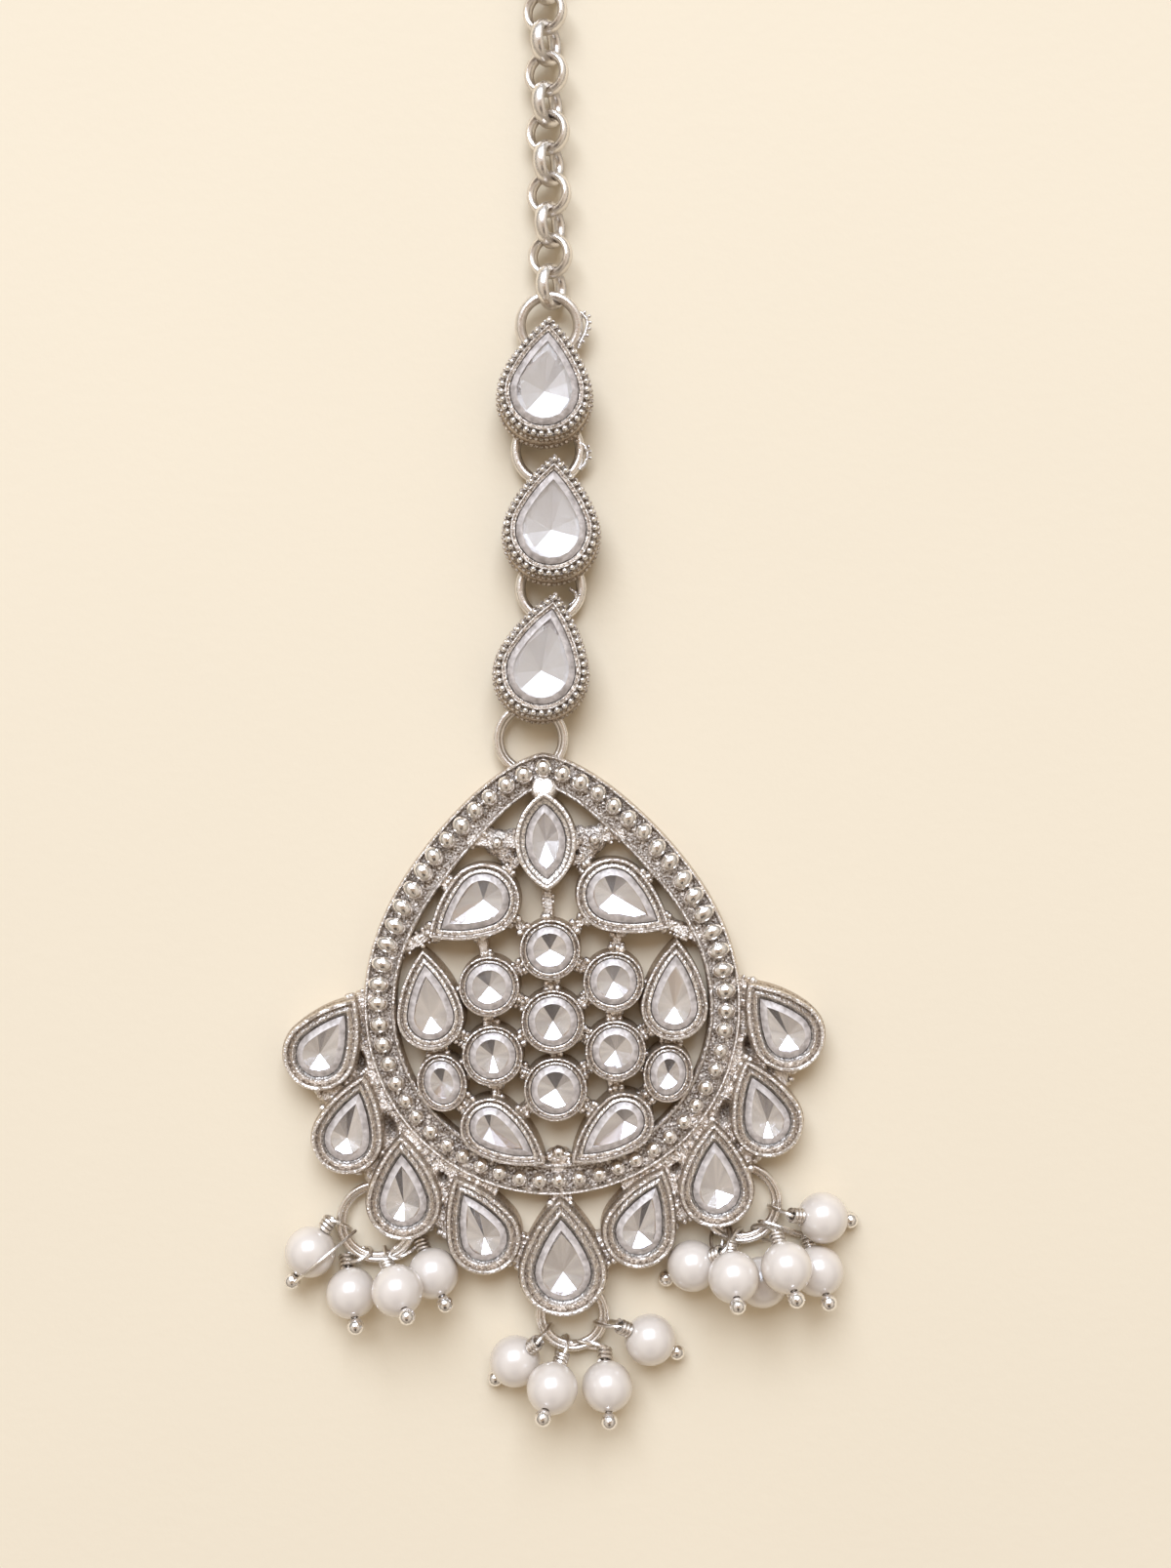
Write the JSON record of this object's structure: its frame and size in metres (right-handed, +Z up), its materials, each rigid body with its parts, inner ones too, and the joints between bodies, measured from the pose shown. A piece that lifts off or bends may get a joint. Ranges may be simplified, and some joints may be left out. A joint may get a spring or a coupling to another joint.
{
  "type": "maang tikka",
  "caption": "Hair ornament lying on its back: a lotus pendant of set clear stones in antique silver metal, with pearl clusters on rings, three stone drops, a short link chain and a hair hook.",
  "frame": {"origin": "centre of the footprint, on the surface that the jewel lies on", "axes": "+Z up, out of the stones; +Y along the jewel from the pearls to the hair hook; +X to the right as seen from the front"},
  "size_m": [0.0458, 0.1284, 0.0078],
  "materials": {
    "antique_silver": "oxidised silver plate, dark in its recesses",
    "polished_silver": "smooth silver plate",
    "clear_glass": "clear, foiled behind",
    "imitation_pearl": "pearlescent"
  },
  "bodies": {
    "root": {"chain_lower": "polished_silver", "chain_upper": "polished_silver", "drop_1_setting": "antique_silver", "drop_2_setting": "antique_silver", "drop_3_setting": "antique_silver", "hair_hook": "polished_silver", "jump_ring_1": "polished_silver", "jump_ring_2": "polished_silver", "jump_ring_3": "polished_silver", "jump_ring_4": "polished_silver", "pearl_bottom_1": "imitation_pearl", "pearl_bottom_2": "imitation_pearl", "pearl_bottom_3": "imitation_pearl", "pearl_bottom_4": "imitation_pearl", "pearl_left_1": "imitation_pearl", "pearl_left_2": "imitation_pearl", "pearl_left_3": "imitation_pearl", "pearl_left_4": "imitation_pearl", "pearl_right_1": "imitation_pearl", "pearl_right_2": "imitation_pearl", "pearl_right_3": "imitation_pearl", "pearl_right_4": "imitation_pearl", "pearl_right_5": "imitation_pearl", "pearl_right_6": "imitation_pearl", "pearl_ring_bottom": "polished_silver", "pearl_ring_left": "polished_silver", "pearl_ring_right": "polished_silver", "pendant_frame": "antique_silver", "stone_drop_1": "clear_glass", "stone_drop_2": "clear_glass", "stone_drop_3": "clear_glass", "stone_leaf_left": "clear_glass", "stone_leaf_right": "clear_glass", "stone_marquise": "clear_glass", "stone_middle_left": "clear_glass", "stone_middle_right": "clear_glass", "stone_oval_left": "clear_glass", "stone_oval_right": "clear_glass", "stone_petal_1_left": "clear_glass", "stone_petal_1_right": "clear_glass", "stone_petal_2_left": "clear_glass", "stone_petal_2_right": "clear_glass", "stone_petal_3_left": "clear_glass", "stone_petal_3_right": "clear_glass", "stone_petal_4_left": "clear_glass", "stone_petal_4_right": "clear_glass", "stone_petal_bottom": "clear_glass", "stone_round_bottom": "clear_glass", "stone_round_centre": "clear_glass", "stone_round_lower_left": "clear_glass", "stone_round_lower_right": "clear_glass", "stone_round_top": "clear_glass", "stone_round_upper_left": "clear_glass", "stone_round_upper_right": "clear_glass", "stone_upper_left": "clear_glass", "stone_upper_right": "clear_glass"}
  },
  "joints": []
}
